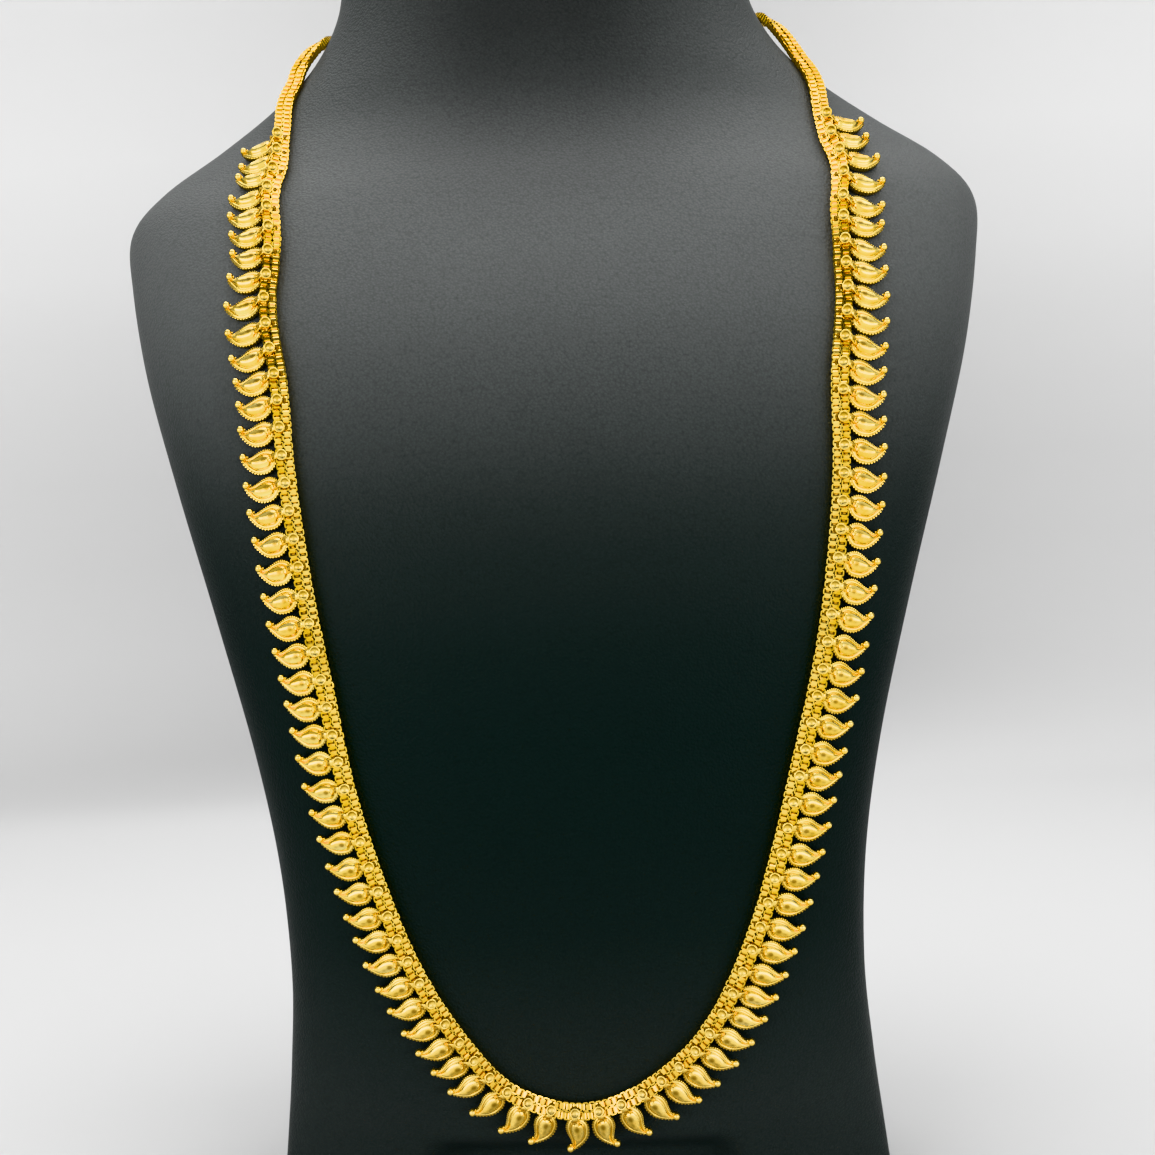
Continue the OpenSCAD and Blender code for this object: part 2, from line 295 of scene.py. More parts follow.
class Nodes:
    """A material's node tree, with one call to add a node and wire it up."""

    def __init__(self, name):
        self.material = bpy.data.materials.new(name)
        self.material.use_nodes = True
        self.tree = self.material.node_tree
        self.shader = self.tree.nodes["Principled BSDF"]

    def add(self, kind, inputs=None, **settings):
        node = self.tree.nodes.new(kind)
        for key, value in settings.items():
            setattr(node, key, value)
        for key, value in (inputs or {}).items():
            self.link(value, node.inputs[key])
        return node

    def link(self, value, socket):
        if isinstance(value, bpy.types.NodeSocket):
            self.tree.links.new(value, socket)
        else:
            socket.default_value = value

    def noise(self, place, scale, detail=3.0, rough=0.5):
        values = {"Vector": place, "Scale": scale, "Detail": detail, "Roughness": rough}
        return self.add("ShaderNodeTexNoise", values).outputs["Fac"]

    def ramp(self, fac, stops):
        node = self.add("ShaderNodeValToRGB", {"Fac": fac})
        while len(node.color_ramp.elements) < len(stops):
            node.color_ramp.elements.new(0.5)
        for element, (place, colour) in zip(node.color_ramp.elements, stops):
            element.position = place
            element.color = (*colour, 1)
        return node.outputs["Color"]

    def mix(self, fac, a, b):
        node = self.add("ShaderNodeMix", {"Factor": fac}, data_type="RGBA")
        self.link(a if isinstance(a, bpy.types.NodeSocket) else (*a, 1), node.inputs[6])
        self.link(b if isinstance(b, bpy.types.NodeSocket) else (*b, 1), node.inputs[7])
        return node.outputs[2]

    def span(self, value, low, high):
        node = self.add("ShaderNodeMapRange", {"Value": value, "To Min": low, "To Max": high})
        return node.outputs["Result"]

    def math(self, operation, a, b):
        node = self.add("ShaderNodeMath", {0: a, 1: b}, operation=operation)
        return node.outputs["Value"]

    def bump(self, height, strength, distance):
        node = self.add("ShaderNodeBump", {"Height": height, "Strength": strength, "Distance": distance})
        return node.outputs["Normal"]

    def rise(self, value, start, stop, low=0.0, high=1.0, smooth=False):
        """A value's way from start to stop, turned into a way from low to high."""
        limits = {"Value": value, "From Min": start, "From Max": stop, "To Min": low, "To Max": high}
        kind = "SMOOTHSTEP" if smooth else "LINEAR"
        return self.add("ShaderNodeMapRange", limits, interpolation_type=kind).outputs["Result"]

    def axes(self, place):
        return self.add("ShaderNodeSeparateXYZ", {"Vector": place}).outputs


def leatherette():
    """Matt black embossed leatherette: small pebbles with fine wrinkles between them and a faint cool tint.
    Its grey by height is painted light: greyer towards the shoulders and at the foot, near black between, and
    with painted shade at the front of the throat."""
    n = Nodes("black_leatherette")
    place = n.add("ShaderNodeTexCoord").outputs["Object"]
    pebble = n.add("ShaderNodeTexVoronoi", {"Vector": place, "Scale": 1500.0}, feature="F1")
    pebbles = n.math("SUBTRACT", 1.0, pebble.outputs["Distance"])
    fine = n.noise(place, 2600.0, 2.0, 0.6)
    cloud = n.noise(place, 14.0, 3.0, 0.5)
    grain = n.math("ADD", pebbles, n.math("MULTIPLY", fine, 0.6))
    n.link(n.bump(grain, 0.5, 0.0003), n.shader.inputs["Normal"])
    parts = n.axes(place)
    # Painted light: the grey for each height, paler on the shoulders and at the foot and near black on the
    # lower chest, stands in for how the light falls
    greys = [(0.03, 0.028), (0.057, 0.0185), (0.08, 0.0097), (0.104, 0.0068), (0.13, 0.0052), (0.151, 0.0075),
             (0.174, 0.016), (0.186, 0.0242), (0.21, 0.0492), (0.233, 0.0725), (0.257, 0.089), (0.277, 0.090),
             (0.30, 0.064), (0.345, 0.055)]
    painted_light_and_roughness = n.ramp(parts["Z"], [(z, (grey - 0.002, grey + 0.0025, grey + 0.0015)) for z, grey in greys])
    uneven = n.math("ADD", n.span(fine, 0.5, 1.0), n.math("MULTIPLY", cloud, 0.3))
    uneven = n.math("ADD", uneven, n.math("MULTIPLY", pebbles, 0.35))
    uneven = n.math("MULTIPLY", uneven, 0.905)
    # Painted shade: the middle of the throat's front, above the shoulders, is darkened
    sides = n.rise(n.math("ABSOLUTE", parts["X"], 0.0), 0.01, 0.06, smooth=True)
    neck = n.rise(parts["Z"], 0.25, 0.31)
    throat = n.math("MULTIPLY", n.math("MULTIPLY", n.math("SUBTRACT", 1.0, sides), neck), 0.55)
    uneven = n.math("MULTIPLY", uneven, n.math("SUBTRACT", 1.0, throat))
    colour = n.add("ShaderNodeVectorMath", {"Vector": painted_light_and_roughness, "Scale": uneven}, operation="SCALE")
    n.link(colour.outputs["Vector"], n.shader.inputs["Base Color"])
    n.link(n.span(fine, 0.46, 0.62), n.shader.inputs["Roughness"])
    n.shader.inputs["Specular IOR Level"].default_value = 0.15
    return n.material


def gold(name, rough, softer, deep=()):
    """Polished yellow gold, with painted light: paler where it faces up and a deeper orange where it faces
    down, and painted shade, olive brown and duller, where its painted shade value is high. It has a faint
    hammered unevenness and is rosier low down, where its roughness is softer by a share. Deep gives heights
    in metres and how much deeper the gold is painted there, as painted shade."""
    n = Nodes(name)
    place = n.add("ShaderNodeTexCoord").outputs["Object"]
    painted_shade = n.add("ShaderNodeAttribute", attribute_name="painted_shade").outputs["Fac"]
    under = n.add("ShaderNodeAttribute", attribute_name="painted_down_shade").outputs["Fac"]
    uneven = n.noise(place, 1500.0, 2.0, 0.5)
    patch = n.ramp(n.noise(place, 380.0, 2.0, 0.5), [(0.36, (0, 0, 0)), (0.64, (1, 1, 1))])
    # Painted light: a deeper orange where the gold faces down, with random deeper patches
    warm = n.math("ADD", n.math("MULTIPLY", under, 0.65), n.math("MULTIPLY", patch, 0.3))
    height = n.axes(place)["Z"]
    low = n.rise(height, 0.1, 0.035)
    # Painted shade by height, from the deep table
    if deep:
        warm = n.math("ADD", warm, n.ramp(height, [(z, (more,) * 3) for z, more in deep]))
    tone = [(0.0, (1.0, 0.84, 0.31)), (0.35, (1.0, 0.765, 0.205)), (0.7, (0.97, 0.66, 0.11)),
            (1.0, (0.74, 0.46, 0.03))]
    tone = n.mix(n.math("MULTIPLY", low, 0.3), n.ramp(warm, tone), (1.0, 0.7, 0.24))
    # Painted shade: olive brown where the painted shade value is high
    n.link(n.mix(painted_shade, tone, (0.17, 0.085, 0.005)), n.shader.inputs["Base Color"])
    painted_light_and_roughness = n.math("MULTIPLY", uneven, 0.1)
    painted_light_and_roughness = n.math("ADD", painted_light_and_roughness, n.math("MULTIPLY", low, softer))
    painted_light_and_roughness = n.math("ADD", painted_light_and_roughness, n.math("MULTIPLY", painted_shade, 0.25))
    n.link(n.math("ADD", painted_light_and_roughness, rough), n.shader.inputs["Roughness"])
    n.link(n.bump(uneven, 0.25, 0.00006), n.shader.inputs["Normal"])
    n.shader.inputs["Metallic"].default_value = 1.0
    return n.material


GOLD_DROPS = gold("polished_gold_drops", 0.07, 0.14)
# Painted shade by height on the chain's rows, deepest low down and at the neck; the outer row, beside the
# drops, is the more deeply shaded copy
DEEP_INNER = [(0.035, 0.5), (0.07, 0.15), (0.2, 0.1), (0.3, 0.65)]
DEEP_OUTER = [(0.035, 0.8), (0.07, 0.4), (0.2, 0.4), (0.3, 0.8)]
GOLD_INNER = gold("polished_gold_inner_row", 0.10, 0.02, DEEP_INNER)
GOLD_OUTER = gold("polished_gold_outer_row", 0.10, 0.02, DEEP_OUTER)
LEATHERETTE = leatherette()


def bust():
    """The bust's skin: a ring of a superellipse at each height, the front ring pushed in by a soft dent at
    the foot, the top edge rounded by a quarter circle, and both ends closed at a middle point."""
    sides = 240
    angles = np.linspace(0, 2 * np.pi, sides, endpoint=False)
    walls = np.concatenate([np.linspace(0, 40, 34), np.linspace(42, 346.5, 176)])
    turn = np.radians([15, 35, 55, 75, 90])
    z = np.concatenate([walls, HEIGHT - TOP_ROUND * (1 - np.sin(turn))])[:, None] + 0 * angles
    inset = np.concatenate([0 * walls, TOP_ROUND * (1 - np.cos(turn))])[:, None]
    w, front, back, axis, n = section_at(z)
    c, s = np.cos(angles), np.sin(angles)
    x = (w - inset) * np.sign(c) * np.abs(c) ** (2 / n)
    y = (np.where(s < 0, front, back) - inset) * np.sign(s) * np.abs(s) ** (2 / n)
    dent = DENT[2] * soft((DENT[0] - np.abs(x)) / DENT_SOFT) * soft((DENT[1] - z) / DENT_SOFT)
    y = axis + y + np.where(s < 0, dent, 0)
    rings = np.stack([x, y, z], -1)
    peak = np.array([0, axis[-1, 0], HEIGHT])
    top = np.stack([peak + (rings[-1] - peak) * k for k in (0.6, 0.25)])
    verts = np.concatenate([rings.reshape(-1, 3), top.reshape(-1, 3), [peak, [0, 20, 0]]])
    rows = len(rings) + 2
    faces = grid_faces(rows, sides, close_columns=True).tolist()
    k = np.arange(sides)
    following = (k + 1) % sides
    last = (rows - 1) * sides
    crown, foot = rows * sides, rows * sides + 1
    faces += np.stack([last + k, last + following, crown + 0 * k], -1).tolist()
    faces += np.stack([following, k, foot + 0 * k], -1).tolist()
    return make_mesh("bust_leatherette", verts, faces, LEATHERETTE)


put(bust(), "neck_bust", "leatherette")

# Box chain: square links bent from flat wire, every second one turned a quarter round the chain's line
LINK_PITCH = 0.87
LINK_HALF = 0.77
LINK_WIDE = 1.03
LINK_ROUND = 0.4
WIRE_T = 0.29
WIRE_W = 1.3
CORE_R = 0.62
CORE_SIDES = 6
ROLL_DEGREES = 4


def link_shape():
    """One link about its middle: a rounded square ring in the plane of the chain's line, of flat wire.
    Each corner is a quarter circle of three points, and the wire's section is a rectangle."""
    corners = [(1, 1, 0), (-1, 1, 90), (-1, -1, 180), (1, -1, 270)]
    outer, inner = [], []
    for sx, sy, start in corners:
        for a in np.radians([start, start + 45, start + 90]):
            for ring, radius in ((outer, LINK_ROUND), (inner, LINK_ROUND - WIRE_T)):
                ring.append((sx * (LINK_HALF - LINK_ROUND) + radius * np.cos(a),
                             sy * (LINK_WIDE - LINK_ROUND) + radius * np.sin(a)))
    outer, inner = np.array(outer), np.array(inner)
    half = np.full((len(outer), 1), WIRE_W / 2)
    loops = [(outer, -half), (outer, half), (inner, half), (inner, -half)]
    verts = np.stack([np.hstack(loop) for loop in loops], 1).reshape(-1, 3)
    faces = grid_faces(len(outer), 4, close_rows=True, close_columns=True)
    # Painted shade on the wire's inner faces
    shade = np.tile([0.0, 0.0, 0.35, 0.35], len(outer))
    return verts, faces[:, ::-1], shade


def row_of_links(name, side, node, material):
    """The link copied at an even pitch along one row: length s along the heading, its width across or,
    for every second link, along the normal."""
    s = np.linspace(CLASP_L / 2 + GAP, LOOP - CLASP_L / 2 - GAP, 4000)
    _, _, _, a, n, middle = chain_frame(s)
    line = middle + ROW_LIFT * n + side * ROW_PITCH / 2 * a
    run = run_of(line)
    count = int((run[-1] - 2 * LINK_HALF) / LINK_PITCH)
    at = np.linspace(LINK_HALF, run[-1] - LINK_HALF, count)
    centre = along(line, run, at)
    h = unit(along(line, run, at + 0.4) - along(line, run, at - 0.4))
    n = along(n, run, at)
    n = unit(n - (n * h).sum(-1, keepdims=True) * h)
    a = np.cross(h, n)
    roll = np.radians(np.random.default_rng(7 + side).normal(0, ROLL_DEGREES, count))[:, None]
    a, n = np.cos(roll) * a + np.sin(roll) * n, np.cos(roll) * n - np.sin(roll) * a
    flat = (np.arange(count) % 2 == 0)[:, None]
    wide = np.where(flat, a, n)
    thin = np.where(flat, n, -a)
    verts, faces, shade = link_shape()
    points = (centre[:, None] + verts[:, :1] * h[:, None] + verts[:, 1:2] * wide[:, None]
              + verts[:, 2:] * thin[:, None])
    all_faces = (faces[None] + (np.arange(count) * len(verts))[:, None, None]).reshape(-1, 4)
    # the links' crowded insides, as one thin duller core of painted shade, which is darkest low down, where
    # less light gets in
    around = np.linspace(0, 2 * np.pi, CORE_SIDES, endpoint=False)[None, :, None]
    thick = np.where((np.arange(count) > 0) & (np.arange(count) < count - 1), CORE_R, 0)[:, None, None]
    core = centre[:, None] + thick * (np.cos(around) * a[:, None] + np.sin(around) * n[:, None])
    core_faces = grid_faces(count, CORE_SIDES, close_columns=True, first=count * len(verts))
    core_shade = np.interp(centre[:, 2], [60, 150, 230], [0.9, 0.55, 0.4])
    piece = make_mesh(name, np.concatenate([points.reshape(-1, 3), core.reshape(-1, 3)]),
                      np.concatenate([all_faces, core_faces]), material, smooth=False,
                      shade=np.concatenate([np.tile(shade, count), np.repeat(core_shade, CORE_SIDES)]))
    put(piece, node, "gold")


row_of_links("inner_row_links", -1, "chain_inner_row", GOLD_INNER)
row_of_links("outer_row_links", 1, "chain_outer_row", GOLD_OUTER)


def even(table, count):
    """A smooth line through a table's rows, at an even spacing."""
    fine = curve(table, np.linspace(0, len(table) - 1, 600))
    run = run_of(fine)
    return along(fine, run, np.linspace(0, run[-1], count))


def turned(profile, around):
    """A round form: (radius, height) points turned about the upright line, closed at both ends on it."""
    angles = np.linspace(0, 2 * np.pi, around, endpoint=False)
    profile = np.array(profile, float)
    radius, height = profile[:, :1], profile[:, 1:2]
    rings = np.stack([radius * np.cos(angles), radius * np.sin(angles), height + 0 * angles], -1)
    return rings.reshape(-1, 3), grid_faces(len(profile), around, close_columns=True)


def rod(path, wide, thick, around=6):
    """A closed rod: an ellipse carried along a path, wide on the level and thick square to it, its ends
    closed on the path."""
    path = np.array(path, float)
    h = unit(np.gradient(path, axis=0))
    side = unit(np.cross([0.0, 0.0, 1.0], h))
    up = np.cross(h, side)
    a = np.linspace(0, 2 * np.pi, around, endpoint=False)[None, :, None]
    wide, thick = np.array(wide)[:, None, None], np.array(thick)[:, None, None]
    rings = path[:, None] + wide * np.cos(a) * side[:, None] + thick * np.sin(a) * up[:, None]
    rings[0], rings[-1] = path[0], path[-1]
    return rings.reshape(-1, 3), grid_faces(len(path), around, close_columns=True)


def body_shell():
    """The drop's body: its outline drawn in, ring after ring, towards a spine that runs from the middle of
    the belly down the tail. From below, the rings run out under the plate, up the ribbed skirt, over the
    beaded edge, the raised band and the groove, and over the domed kernel, a quarter ellipse up to the spine,
    with two painted dark reflections, as brown spots. Painted shade goes under the plate, between the beads,
    in the groove and at the kernel's edge. An inset is a real length, cut to a share of the way to the spine
    where the drop is narrow. Beads are every second station pushed out."""
    stations = 37
    belly = np.array([4.0, -0.95])
    lower, upper = even(LOWER, stations), even(UPPER, stations)
    t = np.linspace(0, 1, stations)
    into = soft(t / TAIL_FROM)[:, None]
    middle = (lower + upper) / 2
    spine = middle * into + belly * (1 - into)
    wide = np.linalg.norm(upper - lower, axis=1) / 2
    wide = np.where(t < TAIL_FROM, np.interp(TAIL_FROM, t, wide), wide)
    rise = 1.35 * np.clip((wide - 0.7) / 1.7, 0, 1) ** 0.7
    # both sides in one closed round: down the lower edge from the root, back up the upper edge
    outline = np.concatenate([lower, upper[-2:0:-1]])
    foot = np.concatenate([spine, spine[-2:0:-1]])
    rise = np.concatenate([rise, rise[-2:0:-1]])
    way = foot - outline
    length = np.linalg.norm(way, axis=1)
    inward = way / np.maximum(length, 1e-6)[:, None]
    tooth = np.where(np.arange(len(outline)) % 2 == 0, 1.0, -1.0)
    rings, shades = [np.column_stack([foot, np.full(len(foot), 0.5)])], [np.full(len(foot), 0.9)]
    for inset, height, share, push, shade, valley in EDGE:
        cut = np.minimum(inset, share * length) - push * tooth
        rings.append(np.column_stack([outline + cut[:, None] * inward, height + push * tooth * 0.5]))
        shades.append(shade + valley * (tooth < 0))
    # the kernel starts inside the groove, or most of the way to the spine where the drop is narrow
    start = np.minimum(1.03, 0.81 * length)
    for f in (0.0, 0.1, 0.28, 0.5, 0.7, 0.87, 1.0):
        plan = outline + (start + f * (length - start))[:, None] * inward
        top = 1.7 + rise * np.sqrt(1 - (1 - f) ** 2)
        brown = sum(spot[4] * np.exp(-(((plan - spot[:2]) / spot[2:4]) ** 2).sum(1)) for spot in DARK_REFLECTIONS)
        rings.append(np.column_stack([plan, top]))
        shades.append(np.clip(brown, 0, 0.85) + (0.3 if f == 0 else 0))
    verts = np.stack(rings) + [BODY_X, 0, 0]
    faces = grid_faces(len(rings), len(foot), close_columns=True)
    return verts.reshape(-1, 3), faces, np.stack(shades).ravel()


def drop_shape():
    """All of one drop, x out from the chain's middle line, y along it and z off the bust: the points, faces,
    painted shade values, how far each point keeps to the body's frame rather than the chain's, and which
    points are the cup's."""
    parts = []

    def part(shape, place, shade, share, cup=False):
        verts, faces = shape
        verts = verts + np.array(place)
        shade = np.repeat(shade, len(verts) // len(shade))
        share = np.full(len(verts), share) if np.isscalar(share) else share(verts)
        parts.append((verts, faces, shade, share, np.full(len(verts), cup)))

    verts, faces, shade = body_shell()
    part((verts, faces), (0, 0, 0), shade, 1.0)
    ball = [(BALL_R * np.sin(a), -BALL_R * np.cos(a)) for a in np.radians([0, 35, 70, 100, 130, 150, 180])]
    # Painted shade on the ball's underside
    part(turned(ball, 12), (BODY_X + BALL[0], BALL[1], BALL[2]), [0.5, 0.5, 0.2, 0, 0, 0, 0], 1.0)
    bead = [(0, -0.24), (0.2, -0.1), (0.2, 0.12), (0, 0.24)]
    part(turned(bead, 6), (BODY_X + 8.75, 0.5, 1.9), [0.0], 1.0)
    cup = [(0, 0), (1.12, 0), (1.32, 0.2), (1.35, 0.5), (1.17, 0.66), (0.93, 0.5), (0.6, 0.2), (0, 0.12)]
    around = 16
    dish, faces = turned(cup, around)
    # Painted shade under the cup's rim and in its hollow, deeper on the hollow's up-chain half
    shade = np.repeat([0.6, 0.6, 0.5, 0, 0, 0.6, 0.4, 0.2], around)
    hollow = 5 * around
    shade[hollow:] += 0.3 * np.clip(dish[hollow:, 1] / 0.9, -0.5, 1)
    part((dish, faces), (CUP_X, 0, CUP_Z), shade, 0.0, cup=True)
    arm = [(1.3, 0, CUP_Z + 0.16), (1.3, 0, CUP_Z + 0.16), (1.9, 0, CUP_Z + 0.1), (2.5, -0.1, CUP_Z - 0.35),
           (3.1, -0.25, 2.15), (3.8, -0.45, 1.9), (4.2, -0.5, 1.7)]
    arm = rod(arm, [0, 0.75, 0.85, 0.95, 1.05, 0.95, 0], [0, 0.22, 0.28, 0.32, 0.34, 0.26, 0], 8)
    # Painted shade where the arm runs in under the body
    shade = [0.1, 0.15, 0.12, 0.1, 0.1, 0.3, 0.5]
    part(arm, (0, 0, 0), shade, lambda v: np.clip((v[:, 0] - 1.5) / 1.7, 0, 1))
    post = [(2.75, 0, 2.5), (2.75, 0, 2.4), (2.7, 0, 1.0), (2.35, 0, 0.55), (1.4, 0, 0.42), (0.35, 0, 0.42),
            (0.3, 0, 0.42)]
    post = rod(post, [0, 0.55, 0.55, 0.55, 0.55, 0.5, 0], [0, 0.3, 0.25, 0.14, 0.14, 0.12, 0], 6)
    # Painted shade on the post, which runs under the arm and the chain
    part(post, (0, 0, 0), [0.8], 0.0)
    # A dark plate of painted shade, where the cup's shadow falls between the cup and the inner row
    eye, faces = turned([(0, -0.05), (0.55, -0.05), (0.55, 0.04), (0, 0.04)], 10)
    part((eye * [0.9, 1.45, 1], faces), (CUP_X - 1.28, 0, CUP_Z - 0.06), [1.0], 0.0)
    firsts = np.cumsum([0] + [len(p[0]) for p in parts[:-1]])
    verts, faces, shade, share, is_cup = zip(*parts)
    faces = [part_faces + first for part_faces, first in zip(faces, firsts)]
    return [np.concatenate(column) for column in (verts, faces, shade, share, is_cup)]


DROP = drop_shape()


def drops(name, numbers, node):
    """The drop copied to its places. The hook keeps to the chain's own frame, the body to a frame whose tip
    is down on the bust and whose middle is clear of it, and the arm is a blend of the two. Low down, where
    the bust falls back, the body hangs part of the way to upright. The body swings up the chain about the
    cup, and on the left it is turned over by a mirror along the chain. The cup leans forward by the slope
    of the chain's normal, with CUP_LEAN degrees more for each mm above CUP_LEAN_Z, and it is further out
    the more it leans."""
    verts, faces, shade, share, is_cup = DROP
    i = np.array(list(numbers), float)
    up = i > 0
    s = BOTTOM_S + np.interp(i, PLACES[:, 0], PLACES[:, 1]) * DROP_PITCH
    p, h, sideways, a, n, middle = chain_frame(s)
    tip = seat(p + REACH_OUT * sideways)
    x = unit(tip - p)
    z = unit(np.cross(x, h))
    lift = (HANG * np.clip(-z[:, 2], 0, 1) * np.clip(-x[:, 2], 0, 1))[:, None]
    x, z = np.cos(lift) * x + np.sin(lift) * z, np.cos(lift) * z - np.sin(lift) * x
    y = np.cross(z, x)
    bulge = ((seat(p + REACH_OUT / 2 * sideways) - p) * z).sum(-1)
    origin = p + np.maximum(0, bulge)[:, None] * z
    slight = np.random.default_rng(21).normal(0, 1, (2 * RIGHT_DROPS + 1, 3))[(i + RIGHT_DROPS).astype(int)]
    swing = np.radians(np.interp(i, SWING[:, 0], SWING[:, 1]) + slight[:, 0] * 0.7)
    c, sn = np.cos(swing)[:, None], np.sin(swing)[:, None]
    lx = verts[None, :, 0] - CUP_X
    ly = verts[None, :, 1]
    flip = np.where(up, 1, -1)[:, None]
    px = CUP_X + c * lx - sn * ly
    py = (sn * lx + c * ly) * flip
    pz = verts[None, :, 2] + slight[:, 1:2] * 0.006 * lx + slight[:, 2:3] * 0.012 * ly
    body = (origin[:, None] + px[..., None] * x[:, None] + py[..., None] * y[:, None]
            + pz[..., None] * z[:, None])
    hook = (middle[:, None] + verts[None, :, :1] * a[:, None]
            + (verts[None, :, 1] * flip)[..., None] * h[:, None] + verts[None, :, 2:] * n[:, None])
    lean = np.degrees(np.arcsin(n[:, 2])) + CUP_LEAN * (middle[:, 2] - CUP_LEAN_Z)
    lean = np.radians(np.clip(lean, 0, 50))[:, None]
    up_chain = h * flip
    dish_n = np.cos(lean) * n - np.sin(lean) * up_chain
    dish_up = np.cos(lean) * up_chain + np.sin(lean) * n
    seat_z = CUP_Z + CUP_CLEAR * np.sin(lean)
    dish_x = verts[None, :, :1] + CUP_OUT * np.sin(lean)[..., None]
    dish = (middle[:, None] + dish_x * a[:, None] + seat_z[..., None] * n[:, None]
            + verts[None, :, 1:2] * dish_up[:, None] + (verts[None, :, 2:] - CUP_Z) * dish_n[:, None])
    hook = np.where(is_cup[None, :, None], dish, hook)
    share = share[None, :, None]
    points = hook * (1 - share) + body * share
    all_faces = faces[None] + (np.arange(len(i)) * len(verts))[:, None, None]
    if not up[0]:
        all_faces = all_faces[..., ::-1]
    piece = make_mesh(name, points.reshape(-1, 3), all_faces.reshape(-1, 4), GOLD_DROPS,
                      shade=np.tile(shade, len(i)))
    put(piece, node, "gold")


drops("left_paisley_drops", range(0, -LEFT_DROPS - 1, -1), "drops_left")
drops("right_paisley_drops", range(1, RIGHT_DROPS + 1), "drops_right")


def clasp():
    """A plain bar behind the neck: a rounded square section carried along it, its ends drawn in."""
    half = (ROW_PITCH + ROW_W + 0.6) / 2
    around = 32
    a = np.linspace(0, 2 * np.pi, around, endpoint=False)
    shape = np.column_stack([np.sign(np.sin(a)) * np.abs(np.sin(a)) ** 0.4 * CLASP_T / 2,
                             np.sign(np.cos(a)) * np.abs(np.cos(a)) ** 0.4 * half])
    half_ends = [(0.44, 1), (0.47, 0.94), (0.5, 1), (0.9, 1), (0.95, 0.95), (0.985, 0.86), (1, 0.72), (1, 0)]
    ends = [(-x, k) for x, k in half_ends[::-1]] + half_ends
    rings = np.stack([np.column_stack([np.full(around, x * CLASP_L / 2), shape * k]) for x, k in ends])
    verts = rings.reshape(-1, 3) + [FINE[0, 0], FINE[0, 1] + ROW_LIFT, FINE[0, 2]]
    # Painted shade in the two notches near the bar's ends
    shade = np.repeat([0, 0, 0, 0, 0, 0, 0.8, 0, 0, 0.8, 0, 0, 0, 0, 0, 0], around)
    faces = grid_faces(len(ends), around, close_columns=True)
    piece = make_mesh("clasp_bar", verts, faces, GOLD_INNER, shade=shade)
    put(piece, "clasp", "gold")


clasp()


MERGE_M = 2e-6


def tidy_mesh(piece):
    """Doubles merged, so that poles and seams are closed, faces turned outwards, and each point given a value
    of painted shade for how far it faces down: a half less three quarters of its normal's z."""
    mesh = bmesh.new()
    mesh.from_mesh(piece.data)
    bmesh.ops.remove_doubles(mesh, verts=mesh.verts, dist=MERGE_M)
    bmesh.ops.recalc_face_normals(mesh, faces=mesh.faces)
    mesh.to_mesh(piece.data)
    mesh.free()
    normals = np.empty(3 * len(piece.data.vertices), np.float32)
    piece.data.vertices.foreach_get("normal", normals)
    layer = piece.data.attributes.new("painted_down_shade", "FLOAT", "POINT")
    layer.data.foreach_set("value", np.clip(0.5 - 0.75 * normals[2::3], 0, 1))


for piece in [o for o in bpy.data.objects if o.get("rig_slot")]:
    tidy_mesh(piece)


def sweep():
    """Pale paper under and behind the bust, in metres: z is 0 up to the bend, and then a quarter circle and a
    wall. Its grey is painted light: even on the table, paler in front of the bust, darker at the bend and
    paler again up the wall and to the sides."""
    half, bend_y, radius, top = 2.6, 0.62, 0.5, 2.4
    flat = [(y, 0.0) for y in np.linspace(-half, bend_y, 24)]
    arc = [(bend_y + radius * np.sin(a), radius * (1 - np.cos(a))) for a in np.linspace(0.06, np.pi / 2, 24)]
    wall = [(bend_y + radius, z) for z in np.linspace(radius + 0.1, top, 16)]
    line = np.array(flat + arc + wall)
    x = np.linspace(-half, half, 32)
    verts = np.stack([x + 0 * line[:, :1], line[:, :1] + 0 * x, line[:, 1:] + 0 * x], -1)
    n = Nodes("pale_paper")
    place = n.add("ShaderNodeTexCoord").outputs["Object"]
    parts = n.axes(place)
    # Painted light: the grey by height up the wall, paler to the sides, darker at the bend and paler in front
    # of the bust
    wall = [(0.1, 0.545), (0.2, 0.515), (0.3, 0.515), (0.38, 0.54), (0.47, 0.58), (0.56, 0.635), (0.7, 0.68),
            (0.86, 0.65)]
    wall = n.ramp(parts["Z"], [(z, (grey,) * 3) for z, grey in wall])
    side = n.math("MULTIPLY", n.math("SUBTRACT", n.math("ABSOLUTE", parts["X"], 0.0), 0.56), 0.45)
    wall = n.math("ADD", wall, n.math("MINIMUM", side, 0.15))
    bend = n.math("SUBTRACT", parts["Y"], n.math("MULTIPLY", parts["X"], 0.2))
    front = n.rise(parts["Y"], 0.0, -0.12, 0.65, 0.85, smooth=True)
    grey = n.mix(n.rise(bend, 0.56, 0.86, smooth=True), front, wall)
    fibres = n.span(n.noise(place, 3.0), 0.0, 0.06)
    n.link(n.mix(fibres, grey, (0.7, 0.7, 0.695)), n.shader.inputs["Base Color"])
    n.shader.inputs["Roughness"].default_value = 0.9
    faces = grid_faces(len(line), len(x))[:, ::-1]
    make_mesh("paper_sweep", verts.reshape(-1, 3) / MM, faces, n.material)


sweep()


def softbox(name, place, aim, size, watts):
    """A soft rectangular lamp that looks from its place at a point, both in metres, and isn't itself seen."""
    lamp = bpy.data.lights.new(name, "AREA")
    lamp.shape = "RECTANGLE"
    lamp.size, lamp.size_y = size
    lamp.energy = watts
    holder = bpy.data.objects.new(name, lamp)
    bpy.context.scene.collection.objects.link(holder)
    back = unit(np.array(place, float) - np.array(aim, float))
    side = unit(np.cross([0.0, 0.001, 1.0], back))
    up = np.cross(back, side)
    holder.matrix_world = Matrix([[side[k], up[k], back[k], place[k]] for k in range(3)] + [[0, 0, 0, 1]])
    holder.visible_camera = False


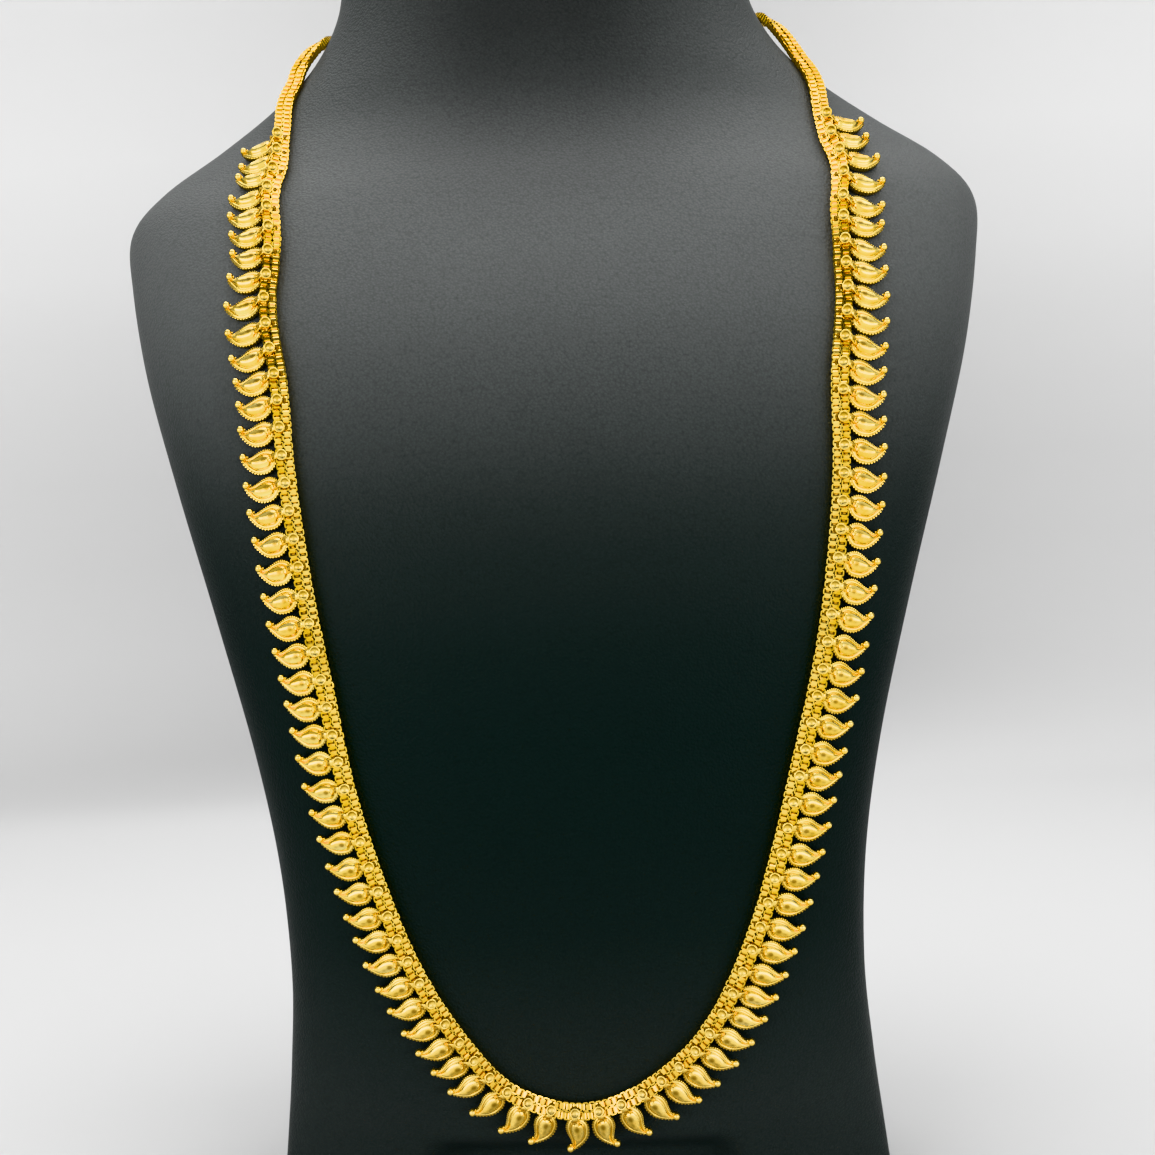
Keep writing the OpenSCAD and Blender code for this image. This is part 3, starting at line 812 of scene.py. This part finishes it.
softbox("overhead", (0.0, -0.05, 1.25), (0, 0, 0.2), (1.4, 1.2), 7)
softbox("strip", (0.0, -0.12, 1.1), (0, 0, 0.2), (1.4, 0.36), 6.2)
softbox("left", (-1.1, -0.45, 0.75), (0, 0, 0.18), (1.4, 1.4), 2.5)
softbox("right", (1.1, -0.45, 0.75), (0, 0, 0.18), (1.4, 1.4), 4)
softbox("front", (0.0, -1.5, 0.6), (0, 0, 0.15), (2.4, 1.2), 9.5)
softbox("low_left", (-0.9, -0.9, 0.24), (0, 0, 0.1), (1.0, 0.45), 8)
softbox("low_right", (0.9, -0.9, 0.24), (0, 0, 0.1), (1.0, 0.45), 7)
softbox("backdrop", (0.0, 0.45, 1.6), (0, 1.1, 0.35), (2.2, 0.5), 9)

world = bpy.data.worlds.new("studio")
world.use_nodes = True
world.node_tree.nodes["Background"].inputs["Color"].default_value = (1, 1, 1, 1)
world.node_tree.nodes["Background"].inputs["Strength"].default_value = 0.12
bpy.context.scene.world = world
bpy.context.scene.view_settings.view_transform = "Khronos PBR Neutral"

# Camera at the photograph's place: how far it is to the right of the origin, in front of it and up; how many
# degrees it looks to the right of straight ahead, and leans; and its focal length in picture widths
EYE = (4.0, 332.0, 168.0)
YAW, LEAN = np.radians([-2.0, 2.25])
FOCAL = 1200 / 1155
SENSOR = 36
camera_data = bpy.data.cameras.new("camera")
camera_data.sensor_width = SENSOR
camera_data.lens = SENSOR * FOCAL
camera = bpy.data.objects.new("camera", camera_data)
bpy.context.scene.collection.objects.link(camera)
right = np.array([np.cos(YAW), -np.sin(YAW), 0])
ahead = np.array([np.sin(YAW), np.cos(YAW), 0])
rise = np.array([0, 0, 1.0])
place = (EYE[0] * right - EYE[1] * ahead + EYE[2] * rise) * MM
axis_x = np.cos(LEAN) * right - np.sin(LEAN) * rise
axis_y = np.sin(LEAN) * right + np.cos(LEAN) * rise
camera.matrix_world = Matrix([[axis_x[k], axis_y[k], -ahead[k], place[k]] for k in range(3)] + [[0, 0, 0, 1]])
bpy.context.scene.camera = camera
